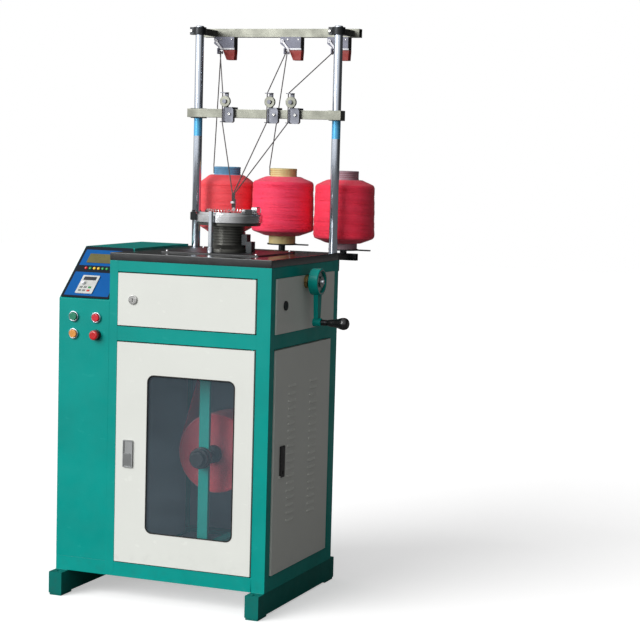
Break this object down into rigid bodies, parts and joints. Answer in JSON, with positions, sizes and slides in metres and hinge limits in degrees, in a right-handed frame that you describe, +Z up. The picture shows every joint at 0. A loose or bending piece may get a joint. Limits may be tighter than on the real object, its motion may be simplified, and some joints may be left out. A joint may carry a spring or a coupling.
{
  "type": "circular hat knitting machine",
  "caption": "Free-standing circular knitting machine: cabinet on skids, knitting head with hand crank, control panel and a rack that feeds yarn from wound packages.",
  "frame": {"origin": "on the floor under the middle of the whole machine's box", "axes": "+Z up, -Y towards the front door and the operator, +X towards the hand crank"},
  "size_m": [0.772, 0.728, 1.614],
  "materials": {
    "teal_paint": "gloss enamel, light orange peel",
    "white_paint": "off-white enamel on sheet steel",
    "black_table": "glossy black slab",
    "blackened_steel": "oiled dark cast iron",
    "bright_steel": "turned and ground steel",
    "chrome": "polished chrome tube",
    "bar_aluminium": "drawn aluminium section",
    "zinc_casting": "grey die casting",
    "red_yarn": "wound yarn",
    "red_knit": "knitted fabric",
    "dark_yarn": "dark twisted yarn",
    "tube_card": "coloured paper tubes",
    "window_pane": "tinted clear pane",
    "black_plastic": "black moulding",
    "panel_blue": "blue overlay with black border",
    "display": "olive display",
    "lamp_lens": "small coloured lamps",
    "keypad_grey": "pale keypad",
    "knob_white": "pale knob",
    "green_cap": "green button",
    "red_cap": "red button",
    "orange_cap": "orange button",
    "detector_grey": "grey moulding, white edges",
    "red_lens": "red translucent lens",
    "white_lever": "white moulding",
    "belt_rubber": "black belt",
    "grip_black": "black grip",
    "motor_grey": "grey motor paint"
  },
  "bodies": {
    "cabinet": {"skids": "teal_paint", "cabinet_frame": "teal_paint", "inner_panels": "white_paint", "table_top": "black_table", "side_cover": "white_paint", "control_box": "teal_paint", "control_fascia": "panel_blue", "display_screen": "display", "indicator_lamps": "lamp_lens", "keypad": "keypad_grey", "button_bezels": "bright_steel", "head_base": "blackened_steel", "head_column": "blackened_steel", "cam_ring": "bright_steel", "head_fittings": "blackened_steel", "bearings": "bright_steel", "motor": "motor_grey", "drive_belt": "belt_rubber", "rack_posts": "chrome", "rack_bars": "bar_aluminium", "rack_clamps": "blackened_steel", "detector_housings": "detector_grey", "detector_lenses": "red_lens", "tensioner_frames": "zinc_casting", "creel_rail": "blackened_steel", "cone_tubes": "tube_card", "yarn_packages": "red_yarn", "yarns": "dark_yarn"},
    "front_door": {"front_door": "white_paint", "door_window": "window_pane", "handle_plate": "bright_steel"},
    "door_paddle": {"handle_paddle": "keypad_grey"},
    "upper_cover": {"upper_cover": "white_paint"},
    "upper_lock": {"upper_cover_lock": "bright_steel"},
    "side_lock": {"side_cover_lock": "bright_steel"},
    "side_door": {"side_door": "white_paint"},
    "side_latch": {"side_latch": "black_plastic"},
    "green_button": {"button_green": "green_cap"},
    "red_button": {"button_red": "red_cap"},
    "orange_button": {"button_orange": "orange_cap"},
    "stop_button": {"stop_button": "red_cap"},
    "knob": {"keypad_knob": "knob_white"},
    "cylinder": {"needle_cylinder": "bright_steel", "needles": "bright_steel", "ring_gear": "bright_steel", "take_down_frame": "teal_paint", "fabric_web": "red_knit"},
    "reel": {"reel_shaft": "bright_steel", "fabric_roll": "red_knit"},
    "crank": {"drive_shaft": "bright_steel", "bevel_pinion": "bright_steel", "crank_arm": "teal_paint"},
    "grip": {"crank_grip": "grip_black"},
    "motor_rotor": {"motor_pulley": "bright_steel"},
    "lever_1": {"detector_lever_1": "white_lever"},
    "lever_2": {"detector_lever_2": "white_lever"},
    "lever_3": {"detector_lever_3": "white_lever"},
    "discs_1": {"tension_discs_1": "bright_steel"},
    "discs_2": {"tension_discs_2": "bright_steel"},
    "discs_3": {"tension_discs_3": "bright_steel"}
  },
  "joints": [
    {"name": "front_door_swing", "type": "hinge", "parent": "cabinet", "child": "front_door", "pos_m": [0.2025, -0.322, 0.4], "axis": [0, 0, 1], "range_deg": [0, 110]},
    {"name": "paddle_lift", "type": "hinge", "parent": "front_door", "child": "door_paddle", "pos_m": [-0.1615, -0.3325, 0.4135], "axis": [-1, 0, 0], "range_deg": [0, 30]},
    {"name": "upper_cover_swing", "type": "hinge", "parent": "cabinet", "child": "upper_cover", "pos_m": [0.2025, -0.322, 0.84], "axis": [0, 0, 1], "range_deg": [0, 110]},
    {"name": "upper_lock_turn", "type": "hinge", "parent": "upper_cover", "child": "upper_lock", "pos_m": [-0.154, -0.329, 0.839], "axis": [0, -1, 0], "range_deg": [0, 90]},
    {"name": "side_lock_turn", "type": "hinge", "parent": "cabinet", "child": "side_lock", "pos_m": [0.258, -0.236, 0.839], "axis": [1, 0, 0], "range_deg": [0, 90]},
    {"name": "side_door_swing", "type": "hinge", "parent": "cabinet", "child": "side_door", "pos_m": [0.251, 0.0985, 0.4], "axis": [0, 0, 1], "range_deg": [0, 110]},
    {"name": "side_latch_lift", "type": "hinge", "parent": "side_door", "child": "side_latch", "pos_m": [0.26065, -0.238, 0.37335], "axis": [0, 1, 0], "range_deg": [0, 35]},
    {"name": "green_press", "type": "slide", "parent": "cabinet", "child": "green_button", "axis": [0, 1, 0], "range_m": [0, 0.003], "stiffness_N_per_m": 400, "springref_m": -0.001},
    {"name": "red_press", "type": "slide", "parent": "cabinet", "child": "red_button", "axis": [0, 1, 0], "range_m": [0, 0.003], "stiffness_N_per_m": 400, "springref_m": -0.001},
    {"name": "orange_press", "type": "slide", "parent": "cabinet", "child": "orange_button", "axis": [0, 1, 0], "range_m": [0, 0.003], "stiffness_N_per_m": 400, "springref_m": -0.001},
    {"name": "stop_press", "type": "slide", "parent": "cabinet", "child": "stop_button", "axis": [0, 1, 0], "range_m": [0, 0.004], "stiffness_N_per_m": 400, "springref_m": -0.001},
    {"name": "knob_turn", "type": "hinge", "parent": "cabinet", "child": "knob", "pos_m": [-0.33, -0.29242, 0.87331], "axis": [0, -0.682, 0.7314], "range_deg": [-150, 150]},
    {"name": "cylinder_turn", "type": "hinge", "parent": "cabinet", "child": "cylinder", "pos_m": [0.02, -0.09, 1], "axis": [0, 0, 1], "continuous": true},
    {"name": "reel_turn", "type": "hinge", "parent": "cylinder", "child": "reel", "pos_m": [0.02, -0.09, 0.404], "axis": [0, 1, 0], "continuous": true},
    {"name": "crank_turn", "type": "hinge", "parent": "cabinet", "child": "crank", "pos_m": [0.254, -0.09, 0.897], "axis": [1, 0, 0], "continuous": true},
    {"name": "grip_turn", "type": "hinge", "parent": "crank", "child": "grip", "pos_m": [0.324, -0.09, 0.785], "axis": [1, 0, 0], "continuous": true},
    {"name": "motor_turn", "type": "hinge", "parent": "cabinet", "child": "motor_rotor", "pos_m": [0.184, 0.105, 0.16], "axis": [1, 0, 0], "continuous": true},
    {"name": "lever_1_lift", "type": "hinge", "parent": "cabinet", "child": "lever_1", "pos_m": [-0.185, 0.236, 1.576], "axis": [0, -1, 0], "range_deg": [0, 20]},
    {"name": "lever_2_lift", "type": "hinge", "parent": "cabinet", "child": "lever_2", "pos_m": [0.03, 0.236, 1.576], "axis": [0, -1, 0], "range_deg": [0, 20]},
    {"name": "lever_3_lift", "type": "hinge", "parent": "cabinet", "child": "lever_3", "pos_m": [0.179, 0.236, 1.576], "axis": [0, -1, 0], "range_deg": [0, 20]},
    {"name": "discs_1_turn", "type": "hinge", "parent": "cabinet", "child": "discs_1", "pos_m": [-0.085, 0.096, 1.393], "axis": [0, 1, 0], "continuous": true},
    {"name": "discs_2_turn", "type": "hinge", "parent": "cabinet", "child": "discs_2", "pos_m": [0.056, 0.096, 1.393], "axis": [0, 1, 0], "continuous": true},
    {"name": "discs_3_turn", "type": "hinge", "parent": "cabinet", "child": "discs_3", "pos_m": [0.122, 0.096, 1.393], "axis": [0, 1, 0], "continuous": true}
  ],
  "couplings": [
    {"joint": "crank_turn", "follows": "cylinder_turn", "ratio": -2.5},
    {"joint": "motor_turn", "follows": "cylinder_turn", "ratio": -4.5455}
  ]
}
